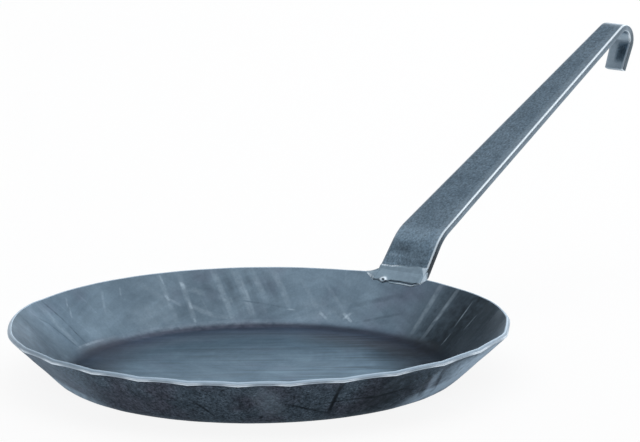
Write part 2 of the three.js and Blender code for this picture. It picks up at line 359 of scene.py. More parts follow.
# Painted shade in broad dark patches on the wall. Two lie across the place where the lengths start again,
# and are given from both ends.
WALL_PAINTED_SHADE = (
    (-42, 14, 130, 150, 0, -1.2),
    (318, 14, 130, 150, 0, -1.2),
    (-42, -22, 60, 150, 0, -0.2),
    (318, -22, 60, 150, 0, -0.2),
    (130, 18, 120, 116, 0, -0.9),
    (118, -20, 50, 130, 0, -0.35),
    (52, 14, 90, 120, 0, -0.2),
)
# Grooves struck into the outside, which the finish also paints dark as the shade in them
OUTER_STROKES = (
    (262.5, 14, 30, 4, -21, -0.6),
    (267.5, 16, 34, 2.6, -28, -0.5),
    (235.5, 17, 44, 3.2, 1, -1.1),
    (238, 13, 42, 2, 86, -0.6),
    (250, 14, 34, 2, 84, -0.5),
    (229, 8, 30, 2.2, -65, -0.8),
    (202.5, 10, 28, 2.2, -33, -0.8),
)
# Painted light on the outside: lighter patches, most towards its ends and along its lower bend, stand in
# for reflections, and a dark patch for shade
OUTER_REFLECTIONS_AND_SHADE = (
    (150, 2, 100, 18, -80, 0.8),
    (158, 18, 60, 70, 0, 0.28),
    (282, 19, 70, 36, 81, 1.1),
    (275, 3, 116, 18, 82, 1.0),
    (265.5, 13, 34, 7, -23, 0.55),
    (219, 16, 36, 18, -19, 0.22),
    (251, 15, 60, 54, 0, -0.8),
)
# Marks on the bar: across from its middle, up from the rim, and the rest as above
BAR_MARKS = (
    (9, 16, 21, 10, 90, -0.42),
    (-5, 12.5, 34, 11, 90, -0.34),
    (-6, 6.8, 30, 5.5, 90, -0.4),
    (8, 10.5, 13, 2.8, 90, 0.22),
    (1, 26, 48, 15, 90, 0.11),
    (-10, 140, 330, 9, 2.1, 0.3),
    (-16.7, 12, 40, 1.8, 1, -1.3),
    # The next two rows paint light on the inside of the hook and a dark reflection on it
    (0, 274, 52, 26, 0, 1.0),
    (-2.6, 275.5, 15, 9, 0, -1.6),
)


def new_finish(name):
    finish = bpy.data.materials.new(name)
    finish.use_nodes = True
    tree = finish.node_tree
    shader = tree.nodes["Principled BSDF"]
    shader.inputs["Metallic"].default_value = 1.0
    return finish, tree, shader


def per_mm(size):
    return 1 / (size * MM)


def with_marks(tree, base, spot, marks, to_metres, light, dark, least=0.25):
    """Lightens or darkens a colour by marks, broken up as on rubbed metal to the share least."""
    node = partial(add, tree)
    total = marks_at(tree, spot, marks, to_metres)
    rub = node("TexNoise", {"Vector": spot, "Scale": per_mm(5), "Detail": 3.0})
    breaks = node("MapRange", {0: rub, 1: 0.3, 2: 0.65, 3: least, 4: 1.75 - least})
    broken = node("Math", {0: total, 1: breaks}, **TIMES)
    darker = node("Math", {0: broken, 1: -1.0}, **TIMES)
    rubbed = node("Mix", {0: broken, 6: base, 7: light}, **BLEND)
    return node("Mix", {0: darker, 6: rubbed, 7: dark}, **BLEND)


# Browned ring of the floor: distance from the middle along the iron, in mm, and tint
RING_REACH = 150
BROWNED_RING = (
    (0, "#e6ecec"),
    (74, "#e6ecec"),
    (88, "#ece4e3"),
    (99, "#d8cfd6"),
    (104, "#b2a9b2"),
    (107, "#a9a1aa"),
    (110.5, "#f0f0f3"),
    (114, "#ffffff"),
)


# Hot-forged mild steel, oiled: satin blue-grey, cloudy, with painted highlights along the ridges between
# the hammer's strips, painted shade in broad dark patches on the wall, a floor rubbed in one direction
# and a browned ring where floor and wall meet.
def hammered_iron():
    finish, tree, shader = new_finish("hammered_iron_oiled")
    node = partial(add, tree)
    place = node("TexCoord").outputs["Object"]
    arc, slant, clear, unbroken = [
        node("Attribute", attribute_name=name).outputs["Fac"]
        for name in ("arc", "slant", "clear", "unbroken")
    ]
    spot = node("CombineXYZ", {0: arc, 1: slant})
    cloud = node("TexNoise", {"Vector": place, "Scale": per_mm(24), "Detail": 4.0, "Roughness": 0.6})
    tone = node("MapRange", {0: cloud, 1: 0.3, 2: 0.7})
    colour = node("Mix", {0: tone, 6: "#586977", 7: "#6b7d8b"}, **BLEND)
    heat = node(
        "TexNoise",
        {"Vector": place, "Scale": per_mm(30), "Detail": 2.0, "W": 3.0},
        noise_dimensions="4D",
    )
    tinge = node("MapRange", {0: heat, 1: 0.55, 2: 0.75, 3: 0.0, 4: 0.3})
    colour = node("Mix", {0: tinge, 6: colour, 7: "#5f5d70"}, **BLEND)

    # Long slanting smears of the cross strokes, which the smith laid from both sides of the joint
    from_turn = node("Math", {0: arc, 1: CROSS_TURN * MID_RADIUS}, **MINUS)
    either_side = node("Math", {0: from_turn}, operation="ABSOLUTE")
    cross_spot = node("CombineXYZ", {0: either_side, 1: slant})
    along_cross = node(
        "Mapping",
        {"Vector": cross_spot, "Rotation": (0, 0, -CROSS_LEAN), "Scale": (4 * MM, 34 * MM, 1)},
        vector_type="TEXTURE",
    )
    smear = node("TexNoise", {"Vector": along_cross, "Scale": 1.0, "Detail": 3.0})
    shade = node("MapRange", {0: smear, 1: 0.3, 2: 0.7, 3: 0.93, 4: 1.07}, clamp=False)
    colour = node("Mix", {0: unbroken, 6: colour, 7: shade}, **TINT)

    # Painted highlights along the edges of the hammer's strips, where the ridges would catch the light; a
    # noise decides where they show
    aside = stroke_aside(tree, arc, slant, STROKE_SPACING, STROKE_LEAN)
    off_edge = node("Math", {0: aside, 1: STROKE_HALF}, **MINUS)
    from_edge = node("Math", {0: off_edge}, operation="ABSOLUTE")
    ridge = node("MapRange", {0: from_edge, 1: 0.0, 2: 1.0 * MM, 3: 1.0, 4: 0.0})
    wear_and_highlight = node("TexNoise", {"Vector": place, "Scale": per_mm(13), "Detail": 2.0})
    shown = node("MapRange", {0: wear_and_highlight, 1: 0.45, 2: 0.66, 3: 0.0, 4: 0.08})
    on_straight = node("MapRange", {0: slant, 1: -1 * MM, 2: 3 * MM})
    ridge_highlights = ridge
    for share in (shown, on_straight, clear, unbroken):
        ridge_highlights = node("Math", {0: ridge_highlights, 1: share}, **TIMES)
    colour = node("Mix", {0: ridge_highlights, 6: colour, 7: "#9fafbc"}, **BLEND)
    # Painted shade: broad dark patches over the wall
    colour = with_marks(tree, colour, spot, WALL_PAINTED_SHADE, AROUND, "#a9bac7", "#21272c", 0.75)
    # Painted highlight on the ridges and painted shade in the grooves, with the nicks, scratches and rubs
    # listed after them
    colour = with_marks(tree, colour, spot, WALL_RIDGES + WALL_RUBS, AROUND, "#a9bac7", "#27313b")

    # Rubbing marks all lie one way across the floor
    along_rub, along_line = [
        node(
            "Mapping",
            {"Vector": place, "Rotation": (0, 0, -VIEW_TURN), "Scale": (length * MM, width * MM, 1)},
            vector_type="TEXTURE",
        )
        for length, width in ((80, 6), (46, 4.5))
    ]
    rub = node("TexNoise", {"Vector": along_rub, "Scale": 1.0, "Detail": 5.0, "Roughness": 0.75})
    streak = node("MapRange", {0: rub, 1: 0.3, 2: 0.7, 3: 1.05, 4: 1.75}, clamp=False)
    rubbed = node("Mix", {0: 1.0, 6: colour, 7: streak}, **TINT)
    line = node("TexNoise", {"Vector": along_line, "Scale": 1.0, "Detail": 2.0})
    dark_line = node("MapRange", {0: line, 1: 0.36, 2: 0.54, 3: 0.62, 4: 1.16})
    # The dark lines grow stronger towards the right-hand side as the camera sees it
    sideways = node("VectorMath", {0: place, 1: right}, operation="DOT_PRODUCT")
    stronger_to_right = node("MapRange", {0: sideways, 1: -40 * MM, 2: 60 * MM, 3: 0.1, 4: 1.0})
    rubbed = node("Mix", {0: stronger_to_right, 6: rubbed, 7: dark_line}, **TINT)
    off_wall = node("MapRange", {0: slant, 1: -bend_length, 2: -0.5 * bend_length, 3: 1.0, 4: 0.0})
    colour = node("Mix", {0: off_wall, 6: colour, 7: rubbed}, **BLEND)
    colour = with_marks(tree, colour, spot, FLOOR_BROWNED, AROUND, "#a9bac7", "#594b3f", 0.75)

    # Browned ring: distances from the middle of the floor, along the iron
    out = node("Math", {0: slant, 1: bend_length + floor_radius})
    share = node("Math", {0: out, 1: per_mm(RING_REACH)}, **TIMES)
    ring = node("ValToRGB", {0: share})
    while len(ring.color_ramp.elements) < len(BROWNED_RING):
        ring.color_ramp.elements.new(0.5)
    for element, (distance, tint) in zip(ring.color_ramp.elements, BROWNED_RING):
        element.position = distance / RING_REACH
        element.color = linear(tint)
    colour = node("Mix", {0: 1.0, 6: colour, 7: ring}, **TINT)

    grain = node("TexNoise", {"Vector": place, "Scale": per_mm(1.3), "Detail": 4.0, "Roughness": 0.6})
    speckle = node("MapRange", {0: grain, 1: 0.35, 2: 0.65, 3: 0.94, 4: 1.06}, clamp=False)
    colour = node("Mix", {0: 1.0, 6: colour, 7: speckle}, **TINT)
    relief = node("Bump", {"Strength": 1.0, "Distance": 0.02 * MM, "Height": grain})
    gloss = node("MapRange", {0: cloud, 1: 0.3, 2: 0.7, 3: 0.46, 4: 0.38})
    looks = {"Base Color": colour, "Normal": relief, "Roughness": gloss, "Specular Tint": GRAZING}
    wire(tree, shader, looks)
    return finish


# Cut edge of the sheet, rubbed bright by use along its two edges, with painted highlights on the outer
# edge, strongest on the corners
def rim_iron():
    finish, tree, shader = new_finish("rubbed_rim_iron")
    node = partial(add, tree)
    place = node("TexCoord").outputs["Object"]
    across, corner = [
        node("Attribute", attribute_name=name).outputs["Fac"] for name in ("across", "corner")
    ]
    cloud = node("TexNoise", {"Vector": place, "Scale": per_mm(6), "Detail": 3.0})
    colour = node("Mix", {0: cloud, 6: "#8496a5", 7: "#a2b3c2"}, **BLEND)
    inner_edge = node("MapRange", {0: across, 1: 0.3 * MM, 2: 1.0 * MM, 3: 0.0, 4: 0.6})
    colour = node("Mix", {0: inner_edge, 6: colour, 7: "#b2c6d6"}, **BLEND)
    # Outer edge: worn bright and painted with highlights, strongest on the corners between the flats
    outer_edge = node("MapRange", {0: across, 1: -1.0 * MM, 2: -0.25 * MM, 3: 1.0, 4: 0.0})
    rubbed = node("MapRange", {0: corner, 1: 0.12, 2: 0.5, 3: 0.3, 4: 1.0})
    wear_and_highlight = node("Math", {0: outer_edge, 1: rubbed}, **TIMES)
    colour = node("Mix", {0: wear_and_highlight, 6: colour, 7: "#e9f5ff"}, **BLEND)
    wire(tree, shader, {"Base Color": colour, "Roughness": 0.48})
    return finish


# Outside: dark fire scale, rough and blotchy, crazed by dark lines, with painted reflections and shade in
# broad patches and painted shade in its grooves
def scaled_iron():
    finish, tree, shader = new_finish("fire_scaled_iron")
    node = partial(add, tree)
    place = node("TexCoord").outputs["Object"]
    arc, slant = [node("Attribute", attribute_name=name).outputs["Fac"] for name in ("arc", "slant")]
    spot = node("CombineXYZ", {0: arc, 1: slant})
    cloud = node("TexNoise", {"Vector": place, "Scale": per_mm(9), "Detail": 6.0, "Roughness": 0.72})
    tone = node("MapRange", {0: cloud, 1: 0.35, 2: 0.68})
    colour = node("Mix", {0: tone, 6: "#3e4a55", 7: "#5e6c79"}, **BLEND)
    heat = node(
        "TexNoise",
        {"Vector": place, "Scale": per_mm(22), "Detail": 2.0, "W": 5.0},
        noise_dimensions="4D",
    )
    tinge = node("MapRange", {0: heat, 1: 0.48, 2: 0.66, 3: 0.0, 4: 0.6})
    colour = node("Mix", {0: tinge, 6: colour, 7: "#504d5a"}, **BLEND)
    pits = node("TexNoise", {"Vector": place, "Scale": per_mm(1.5), "Detail": 3.0, "Roughness": 0.8})
    speckle = node("MapRange", {0: pits, 1: 0.35, 2: 0.65, 3: 0.25, 4: 1.75}, clamp=False)
    colour = node("Mix", {0: 1.0, 6: colour, 7: speckle}, **TINT)
    shaken = node("TexNoise", {"Vector": place, "Scale": per_mm(8), "Detail": 3.0})
    stray = shaken.outputs["Color"]
    pull = node("VectorMath", {0: stray, "Scale": 14 * MM}, operation="SCALE")
    strayed = node("VectorMath", {0: place, 1: pull})
    craze = node("TexVoronoi", {"Vector": strayed, "Scale": per_mm(15)}, feature="DISTANCE_TO_EDGE")
    crack = node("MapRange", {0: craze, 1: 0.0, 2: 0.07, 3: 0.5, 4: 0.0})
    held = node("MapRange", {0: heat, 1: 0.42, 2: 0.56})
    cracks = node("Math", {0: crack, 1: held}, **TIMES)
    colour = node("Mix", {0: cracks, 6: colour, 7: "#161e26"}, **BLEND)
    # Painted reflections and painted shade in broad patches, and painted shade in the struck grooves
    colour = with_marks(tree, colour, spot, OUTER_REFLECTIONS_AND_SHADE + OUTER_STROKES, AROUND, "#adc0d0", "#12171c", 0.5)
    relief = node("Bump", {"Strength": 1.0, "Distance": 0.12 * MM, "Height": cloud})
    looks = {"Base Color": colour, "Normal": relief, "Roughness": 0.5, "Specular Tint": GRAZING}
    wire(tree, shader, looks)
    return finish


# Forged flat bar: grainy satin blue-grey, darkened by heat near the weld. Its edges are worn bright and
# painted with highlights, most on the right-hand side where the light falls, and the sides of the hook
# are painted dark as shade.
def bar_iron():
    finish, tree, shader = new_finish("forged_bar_iron")
    node = partial(add, tree)
    hook_start = RISER_LENGTH + KNEE_BEND * (RISER_SLOPE - GRIP_SLOPE) + GRIP_LENGTH
    place = node("TexCoord").outputs["Object"]
    aside = node("SeparateXYZ", {0: place}).outputs["Y"]
    along, from_edge = [
        node("Attribute", attribute_name=name).outputs["Fac"] for name in ("along", "from_edge")
    ]
    spot = node("CombineXYZ", {0: aside, 1: along})
    cloud = node("TexNoise", {"Vector": place, "Scale": per_mm(20), "Detail": 3.0})
    grain = node("TexNoise", {"Vector": place, "Scale": per_mm(1.4), "Detail": 3.0, "Roughness": 0.7})
    tone = node("MapRange", {0: cloud, 1: 0.3, 2: 0.7})
    colour = node("Mix", {0: tone, 6: "#596c7b", 7: "#6b7e8d"}, **BLEND)
    speckle = node("MapRange", {0: grain, 1: 0.35, 2: 0.65, 3: 0.64, 4: 1.36}, clamp=False)
    colour = node("Mix", {0: 1.0, 6: colour, 7: speckle}, **TINT)
    # Marks on the bar, among them painted light and a painted dark reflection on the hook
    colour = with_marks(tree, colour, spot, BAR_MARKS, MM, "#a5b6c3", "#1c242c", 0.7)
    # Painted highlights along the rounded edges, partly worn bright: strongest on the right-hand side,
    # weaker near the riser
    off_round = node("Math", {0: from_edge, 1: 0.85 * MM}, **MINUS)
    from_round = node("Math", {0: off_round}, operation="ABSOLUTE")
    rounded = node("MapRange", {0: from_round, 1: 0.4 * MM, 2: 0.9 * MM, 3: 1.0, 4: 0.0})
    highlight_side = node("MapRange", {0: aside, 1: -2 * MM, 2: 2 * MM, 3: 0.95, 4: 0.15})
    off_riser = node("MapRange", {0: along, 1: 20 * MM, 2: 55 * MM, 3: 0.55, 4: 1.0})
    wear_and_highlight = node("Math", {0: highlight_side, 1: off_riser}, **TIMES)
    rubbed = node("Math", {0: rounded, 1: wear_and_highlight}, **TIMES)
    colour = node("Mix", {0: rubbed, 6: colour, 7: "#dde8f0"}, **BLEND)
    # Painted shade on the sides of the hook
    on_hook = node("MapRange", {0: along, 1: hook_start + 6 * MM, 2: hook_start + 14 * MM})
    on_side = node("MapRange", {0: from_edge, 1: 0.05 * MM, 2: 0.25 * MM, 3: 0.6, 4: 0.0})
    hook_side_shade = node("Math", {0: on_side, 1: on_hook}, **TIMES)
    colour = node("Mix", {0: hook_side_shade, 6: colour, 7: "#1c242c"}, **BLEND)
    relief = node("Bump", {"Strength": 1.0, "Distance": 0.035 * MM, "Height": grain})
    gloss = node("MapRange", {0: cloud, 1: 0.3, 2: 0.7, 3: 0.46, 4: 0.38})
    wire(tree, shader, {"Base Color": colour, "Normal": relief, "Roughness": gloss})
    return finish


# Weld metal, dressed: pale, ground fine, with painted highlights along the edges of each run, round the
# stop's crater and at the right-hand end, and painted shade in the groove under the inside run
def weld_iron():
    finish, tree, shader = new_finish("dressed_weld")
    node = partial(add, tree)
    place = node("TexCoord").outputs["Object"]
    lip, bright = [node("Attribute", attribute_name=name).outputs["Fac"] for name in ("lip", "bright")]
    grain = node("TexNoise", {"Vector": place, "Scale": per_mm(2.5), "Detail": 3.0})
    colour = node("Mix", {0: grain, 6: "#667785", 7: "#7f929f"}, **BLEND)
    # Painted highlights along the edges of each run and round the crater, painted shade in the groove,
    # and painted highlight at the right-hand end
    edge = node("Math", {0: lip, 1: 0.7}, **TIMES)
    colour = node("Mix", {0: edge, 6: colour, 7: "#d3e0ea"}, **BLEND)
    groove_shade = node("Math", {0: lip, 1: -0.6}, **TIMES)
    colour = node("Mix", {0: groove_shade, 6: colour, 7: "#232c35"}, **BLEND)
    glint_share = node("Math", {0: bright, 1: 0.55}, **TIMES)
    colour = node("Mix", {0: glint_share, 6: colour, 7: "#c0cfdb"}, **BLEND)
    relief = node("Bump", {"Strength": 1.0, "Distance": 0.03 * MM, "Height": grain})
    wire(tree, shader, {"Base Color": colour, "Normal": relief, "Roughness": 0.4})
    return finish


inside_finish = hammered_iron()
rim_finish = rim_iron()
outside_finish = scaled_iron()
bar_finish = bar_iron()
weld_finish = weld_iron()

# Dish: rows of its section from the middle of the underside, over the rim, to the middle of the floor

INSIDE, RIM, OUTSIDE = 0, 1, 2
FLAT_STEPS = 32
BEND_STEPS = 9
WALL_STEPS = 28
EDGE_STEPS = 4
FLOOR_RINGS = (0.04, 0.1, 0.18, 0.28, 0.38, 0.48, 0.58, 0.68, 0.78, 0.87, 0.94, 1.0)


def wall_rows(side):
    """From the floor's edge to the rim: radius and height, way into the dish, slant height, zone."""
    zone = INSIDE if side > 0 else OUTSIDE
    radius = BASE_BEND if side > 0 else bend_height
    out = side * into_dish
    rows = []
    for turn in np.linspace(0, wall_slope, BEND_STEPS + 1)[1:]:
        inwards = np.array([-math.sin(turn), math.cos(turn)])
        at = np.array([floor_radius, bend_height]) - radius * inwards
        rows.append((at, inwards, bend_length * (turn / wall_slope - 1), zone))
    bend_top = rows[-1][0]
    centre = (rim_inner if side > 0 else rim_outer) - RIM_EDGE * up_wall - RIM_EDGE * out
    edge_start = centre + RIM_EDGE * out
    for share in np.linspace(0, 1, WALL_STEPS + 1)[1:]:
        at = bend_top + share * (edge_start - bend_top)
        rows.append((at, into_dish, (at - bend_top) @ up_wall, zone))
    for turn in np.linspace(0, math.pi / 2, EDGE_STEPS + 1)[1:]:
        at = centre + RIM_EDGE * (math.cos(turn) * out + math.sin(turn) * up_wall)
        rows.append((at, into_dish, (at - bend_top) @ up_wall, RIM))
    return rows


def floor_rows(height, zone):
    rows = []
    for share in FLOOR_RINGS:
        slant = -bend_length - floor_radius * (1 - share)
        rows.append((np.array([share * floor_radius, height]), np.array([0.0, 1.0]), slant, zone))
    return rows


def corner_angle(flat):
    even = FIRST_CORNER + (flat + FLAT_UNEVEN * math.sin(STRAY_TURN * flat)) * math.tau / FLATS
    return even + STRAYED_CORNERS.get(flat, 0)


def turn_between(a, b):
    return np.abs(np.mod(a - b + math.pi, math.tau) - math.pi)


def dish_blank():
    """The dish before hammering, with what the strokes and the finish need stored on it."""
    rows = floor_rows(0, OUTSIDE) + wall_rows(-1) + wall_rows(1)[::-1] + floor_rows(IRON, INSIDE)[::-1]
    at, inwards, slant, zone = [np.array([row[i] for row in rows]) for i in range(4)]
    blow = np.clip(slant / (slant.max() - RIM_EDGE), 0, 1)
    corners = np.array([corner_angle(k) for k in range(FLATS)] + [corner_angle(0) + math.tau])
    offset = np.linspace(-1, 1, FLAT_STEPS + 1)[:-1]
    half = np.diff(corners)[:, None] / 2
    angle = (corners[:-1, None] + half * (1 + offset)).ravel()
    around = angle[None, :] - FLAT_LEAN * (1 - blow[:, None])
    radial = np.stack([np.cos(around), np.sin(around), np.zeros_like(around)], axis=-1)
    rise = np.array([0.0, 0.0, 1.0])
    points = at[:, 0, None, None] * radial + at[:, 1, None, None] * rise
    push = inwards[:, 0, None, None] * radial + inwards[:, 1, None, None] * rise

    degrees = np.degrees(np.mod(around + math.pi, math.tau) - math.pi)
    climb = up_wall[0] * radial + up_wall[1] * rise
    for begin, full, until, end, bent_out, stands_up in RIM_STRAYS:
        stray = smoothstep(degrees, begin, full) * (1 - smoothstep(degrees, until, end)) * blow[:, None]
        points += stray[..., None] * MM * (stands_up * climb - bent_out * push)

    hollow = 1 - offset**2 + CORNER_ROUND * ((1 + np.cos(math.pi * offset)) / 2 - 1 + offset**2)
    flats = np.broadcast_to(np.tile(hollow, FLATS), around.shape)
    from_joint = turn_between(around, 0) * np.maximum(at[:, 0, None], floor_radius)
    clear = smoothstep(from_joint, PLAIN_RIM, PLAIN_RIM + PLAIN_BLEND)
    heavy = smoothstep(turn_between(around, CALM_SIDE), CALM_HALF, CALM_HALF + CALM_BLEND)
    unbroken = smoothstep(turn_between(around, LAST_ANGLE), 0.1 * SEAM_CALM, SEAM_CALM)
    over_rim = (at - (rim_inner + rim_outer) / 2) @ into_dish
    through = np.interp(over_rim, (-IRON / 2, IRON / 2), (1, FLAT_THROUGH))
    per_point = {
        "slant": slant[:, None],
        "blow": blow[:, None],
        "dip": flats * through[:, None],
        "clear": clear,
        "heavy": heavy,
        "unbroken": unbroken,
        "corner": (1 - flats) * heavy * clear,
        "across": over_rim[:, None],
        "inside": (zone != OUTSIDE)[:, None],
    }
    count = len(angle)
    columns = np.arange(count)
    after = (columns + 1) % count
    starts = np.arange(len(rows) - 1)[:, None] * count
    here, beside = starts + columns, starts + after
    quads = np.stack([here, beside, beside + count, here + count], axis=-1)
    last = (len(rows) - 1) * count
    under, middle = len(rows) * count, len(rows) * count + 1
    faces = quads.reshape(-1, 4).tolist()
    faces += [(under, b, a) for a, b in zip(columns, after)]
    faces += [(middle, last + a, last + b) for a, b in zip(columns, after)]
    vertices = np.concatenate([points.reshape(-1, 3), [[0, 0, 0], [0, 0, IRON]]])
    blank = new_piece("dish_blank", vertices, faces)
    poles = {"slant": (slant.min(), slant.min()), "inside": (0.0, 1.0)}
    for name, values in per_point.items():
        spread = np.broadcast_to(values, around.shape).ravel()
        store(blank.data, name, np.concatenate([spread, poles.get(name, (0.0, 0.0))]))
    store(blank.data, "push", np.concatenate([push.reshape(-1, 3), [rise, rise]]))

    # Lengths round the wall belong to face corners, so that they can jump where the ring closes
    closed = np.concatenate([around, around[:, :1] + math.tau], axis=1)
    ring_corners = np.stack([closed[:-1, :-1], closed[:-1, 1:], closed[1:, 1:], closed[1:, :-1]], axis=-1)
    ring_corners -= np.where(angle > LAST_ANGLE, math.tau, 0)[None, :, None]
    arc = ring_corners.ravel() * MID_RADIUS
    store(blank.data, "arc", np.concatenate([arc, np.zeros(6 * count)]), "CORNER")
    row_zone = np.where((zone[:-1] == RIM) | (zone[1:] == RIM), RIM, zone[:-1])
    face_zone = np.concatenate([np.repeat(row_zone, count), np.repeat([OUTSIDE, INSIDE], count)])
    blank.data.attributes.new("zone", "INT", "FACE").data.foreach_set("value", face_zone.astype(np.int32))
    return blank


def hammering(values):
    """Drives the wall in at its flats, and marks it by strips up the wall and strokes across them."""
    tree, given = new_shape_tree("hammering", values)
    node = partial(add, tree)
    arc, slant, blow, dip, clear, heavy, unbroken, inside = [
        node("GeometryNodeInputNamedAttribute", {"Name": name}, data_type="FLOAT")
        for name in ("arc", "slant", "blow", "dip", "clear", "heavy", "unbroken", "inside")
    ]
    push = node("GeometryNodeInputNamedAttribute", {"Name": "push"}, data_type="FLOAT_VECTOR")

    # Flats between the rim's corners, shallow on the calm side, where the rim leans out instead
    depth_share = node("MapRange", {0: heavy, 3: given["Calm Share"], 4: 1.0})
    flat_depth = node("Math", {0: depth_share, 1: given["Flat Depth"]}, **TIMES)
    flat = node("Math", {0: flat_depth, 1: dip}, **TIMES)
    sag = node("MapRange", {0: heavy, 3: given["Calm Sag"], 4: 0.0})
    leaning = node("Math", {0: flat, 1: sag}, **MINUS)
    blown = node("Math", {0: leaning, 1: blow}, **TIMES)

    # Strips up the wall
    aside = stroke_aside(tree, arc, slant, given["Stroke Spacing"], given["Stroke Lean"])
    strip_in = node("Math", {0: given["Stroke Half"], 1: given["Stroke Edge"]}, **MINUS)
    strip_out = node("Math", {0: given["Stroke Half"], 1: given["Stroke Edge"]})
    strip = node(
        "MapRange",
        {0: aside, 1: strip_in, 2: strip_out, 3: given["Stroke Depth"], 4: 0.0},
        **STEPPED,
    )

    # Slanting strokes: long cells, each hollowed towards its middle
    wall_spot = node("CombineXYZ", {0: arc, 1: slant})
    lean = {"Vector": wall_spot, "Angle": given["Cross Lean"]}
    turned = node("VectorRotate", lean, rotation_type="Z_AXIS")
    cell_size = node("CombineXYZ", {0: given["Cross Width"], 1: given["Cross Length"], 2: 1.0})
    counted = node("VectorMath", {0: turned, 1: cell_size}, **OVER)
    seed = node("CombineXYZ", {1: given["Seed"]})
    seeded = node("VectorMath", {0: counted, 1: seed})
    cell = node(
        "TexVoronoi",
        {"Vector": seeded, "Scale": 1.0, "Randomness": 0.9},
        voronoi_dimensions="2D",
    )
    hollow = node("Math", {0: cell.outputs["Distance"], 1: 2.0}, operation="POWER")
    ridge = node("Math", {0: hollow, 1: CROSS_HOLLOW}, **TIMES)
    crossing = node("Math", {0: ridge, 1: given["Cross Depth"]}, **TIMES)

    lowest = node("Math", {0: given["Bend Length"], 1: -1.0}, **TIMES)
    above_bend = node("MapRange", {0: slant, 1: lowest, 2: 0.0}, **STEPPED)
    fade_from = node("Math", {0: given["Stroke Top"], 1: given["Stroke Fade"]}, **MINUS)
    below_rim = node(
        "MapRange",
        {0: slant, 1: fade_from, 2: given["Stroke Top"], 3: 1.0, 4: 0.0},
        **STEPPED,
    )
    height_field = node("Math", {0: above_bend, 1: below_rim}, **TIMES)
    field = node("Math", {0: height_field, 1: unbroken}, **TIMES)
    strokes = node("Math", {0: crossing, 1: strip}, **MINUS)

    # Single ridges and grooves: raised on the inside, cut in from the outside
    ridges = marks_at(tree, wall_spot, WALL_RIDGES, AROUND)
    inner = node("Math", {0: ridges, 1: inside}, **TIMES)
    grooves = marks_at(tree, wall_spot, OUTER_STROKES, AROUND)
    outwards = node("Math", {0: inside, 1: 1.0}, **MINUS)
    marked = node("Math", {0: grooves, 1: outwards, 2: inner}, **TIMES_PLUS)
    struck = node("Math", {0: marked, 1: given["Mark Relief"], 2: strokes}, **TIMES_PLUS)
    driven = node("Math", {0: struck, 1: field, 2: blown}, **TIMES_PLUS)
    hammered = node("Math", {0: driven, 1: clear}, **TIMES)
    wave_scale = node("Math", {0: 1.0, 1: given["Floor Wave Size"]}, **OVER)
    wave = node("TexNoise", {"Scale": wave_scale, "Detail": 2.0})
    swell = node("Math", {0: wave, 1: 0.5}, **MINUS)
    sized = node("Math", {0: swell, 1: given["Floor Wave"]}, **TIMES)
    moved = node("Math", {0: sized, 1: inside, 2: hammered}, **TIMES_PLUS)
    offset = node("VectorMath", {0: push, "Scale": moved}, operation="SCALE")

    shaped = node("GeometryNodeSetPosition", {"Geometry": given["Geometry"], "Offset": offset})
    smooth = node("GeometryNodeSetShadeSmooth", {"Geometry": shaped})
    result = node("GeometryNodeRealizeInstances", {"Geometry": smooth})
    zone = node("GeometryNodeInputNamedAttribute", {"Name": "zone"}, data_type="INT")
    for number, label in ((INSIDE, "Inside"), (RIM, "Rim"), (OUTSIDE, "Outside")):
        chosen = node("FunctionNodeCompare", {2: zone, 3: number}, data_type="INT", operation="EQUAL")
        result = node(
            "GeometryNodeSetMaterial",
            {"Geometry": result, "Selection": chosen, "Material": given[label]},
        )
    node("NodeGroupOutput", {0: result})
    return tree


dish = shape_with(
    dish_blank(),
    hammering,
    "hammered_dish",
    {
        "Flat Depth": FLAT_DEPTH,
        "Calm Share": CALM_SHARE,
        "Calm Sag": CALM_SAG,
        "Stroke Spacing": STROKE_SPACING,
        "Stroke Half": STROKE_HALF,
        "Stroke Edge": STROKE_EDGE,
        "Stroke Depth": STROKE_DEPTH,
        "Stroke Lean": STROKE_LEAN,
        "Cross Width": CROSS_WIDTH,
        "Cross Length": CROSS_LENGTH,
        "Cross Depth": CROSS_DEPTH,
        "Cross Lean": CROSS_LEAN,
        "Mark Relief": MARK_RELIEF,
        "Stroke Top": float(rim_slant),
        "Stroke Fade": STROKE_FADE,
        "Floor Wave": FLOOR_WAVE,
        "Floor Wave Size": FLOOR_WAVE_SIZE,
        "Bend Length": bend_length,
        "Seed": STROKE_SEED,
        "Inside": inside_finish,
        "Rim": rim_finish,
        "Outside": outside_finish,
    },
)

# Handle


def bar_path():
    """Points along the middle of the bar, in the upright plane of the handle."""
    at = bar_front - BAR_THICKNESS / 2 * off_bar
    heading = RISER_SLOPE
    path = [at]
    runs = (
        (RISER_LENGTH, 0, 14),
        (KNEE_BEND * (RISER_SLOPE - GRIP_SLOPE), RISER_SLOPE - GRIP_SLOPE, 14),
        (GRIP_LENGTH, 0, 110),
        (HOOK_BEND * HOOK_TURN, HOOK_TURN, 36),
        (HOOK_LEG, 0, 9),
    )
    for length, turn, count in runs:
        for _ in range(count):
            half = turn / count / 2
            chord = length / count * (math.sin(half) / half if half else 1)
            heading -= half
            at = at + chord * np.array([math.cos(heading), math.sin(heading)])
            heading -= half
            path.append(at)
    return np.array(path)


def bar_section():
    """The bar's section at the rim, its long edges rounded: x is across, y is through."""
    across = ROOT_WIDTH / 2 - BAR_EDGE
    through = BAR_THICKNESS / 2 - BAR_EDGE
    centres = ((across, through), (-across, through), (-across, -through), (across, -through))
    points = []
    for corner, (x, y) in enumerate(centres):
        for turn in np.linspace(corner, corner + 1, 6) * math.pi / 2:
            points.append((x + BAR_EDGE * math.cos(turn), y + BAR_EDGE * math.sin(turn)))
        if corner % 2 == 0:
            for share in np.linspace(1, -1, 27)[1:-1]:
                points.append((math.copysign(across, x) * share, y + math.copysign(BAR_EDGE, y)))
    return np.array(points)


def drawn_line(name, points, closed):
    data = bpy.data.curves.new(name, "CURVE")
    data.dimensions = "3D"
    line = data.splines.new("POLY")
    line.points.add(len(points) - 1)
    line.use_cyclic_u = closed
    for at, point in zip(line.points, points):
        at.co = (*point, 1)
    return placed(name, data)


